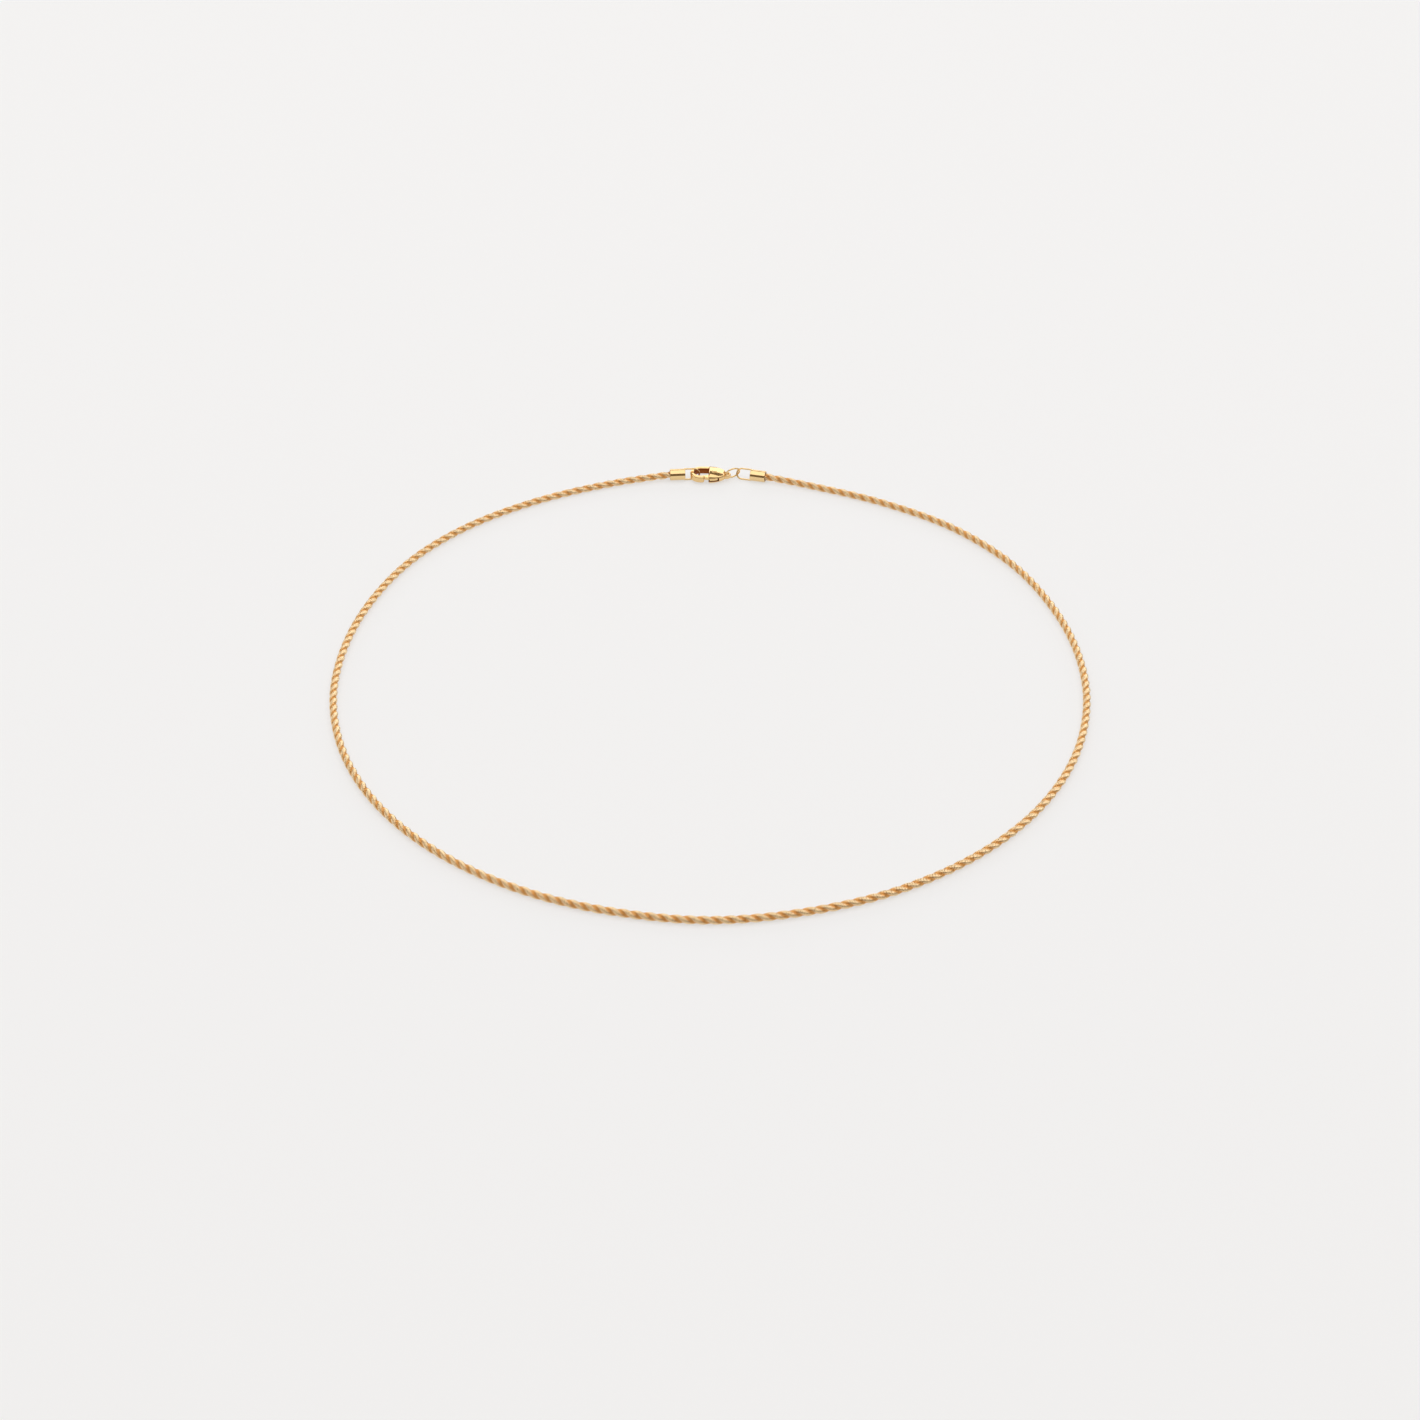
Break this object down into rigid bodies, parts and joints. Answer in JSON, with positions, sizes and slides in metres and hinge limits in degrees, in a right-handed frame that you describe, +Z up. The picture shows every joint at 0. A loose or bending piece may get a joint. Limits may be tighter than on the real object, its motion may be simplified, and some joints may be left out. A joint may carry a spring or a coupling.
{
  "type": "rope chain necklace",
  "caption": "Closed rope chain necklace lying in a round loop, with tube end caps, a jump ring and a lobster clasp whose sprung lever opens the hook.",
  "frame": {"origin": "centre of the closed loop's box, on the surface that it lies on", "axes": "+Z up from the surface, +Y towards the clasp at the back of the loop, +X to the wearer's left as the loop is seen from its front"},
  "size_m": [0.1454, 0.1509, 0.0031],
  "materials": {
    "rope_gold": "polished gold wire, linked and twisted into a rope",
    "cap_gold": "polished gold tube, with a soldered wire loop",
    "wire_gold": "polished drawn gold wire",
    "clasp_gold": "polished cast gold with soft edges"
  },
  "bodies": {
    "necklace": {"rope_chain": "rope_gold", "end_cap_left": "cap_gold", "end_cap_right": "cap_gold", "jump_ring": "wire_gold", "clasp_body": "clasp_gold", "clasp_rivet": "clasp_gold"},
    "lever": {"clasp_lever": "clasp_gold"}
  },
  "joints": [
    {"name": "lever_swing", "type": "hinge", "parent": "necklace", "child": "lever", "pos_m": [0.00089, 0.07272, 0.0011], "axis": [0, 0, -1], "range_deg": [0, 24], "stiffness_Nm_per_rad": 0.0000005, "springref_deg": -45.84}
  ]
}
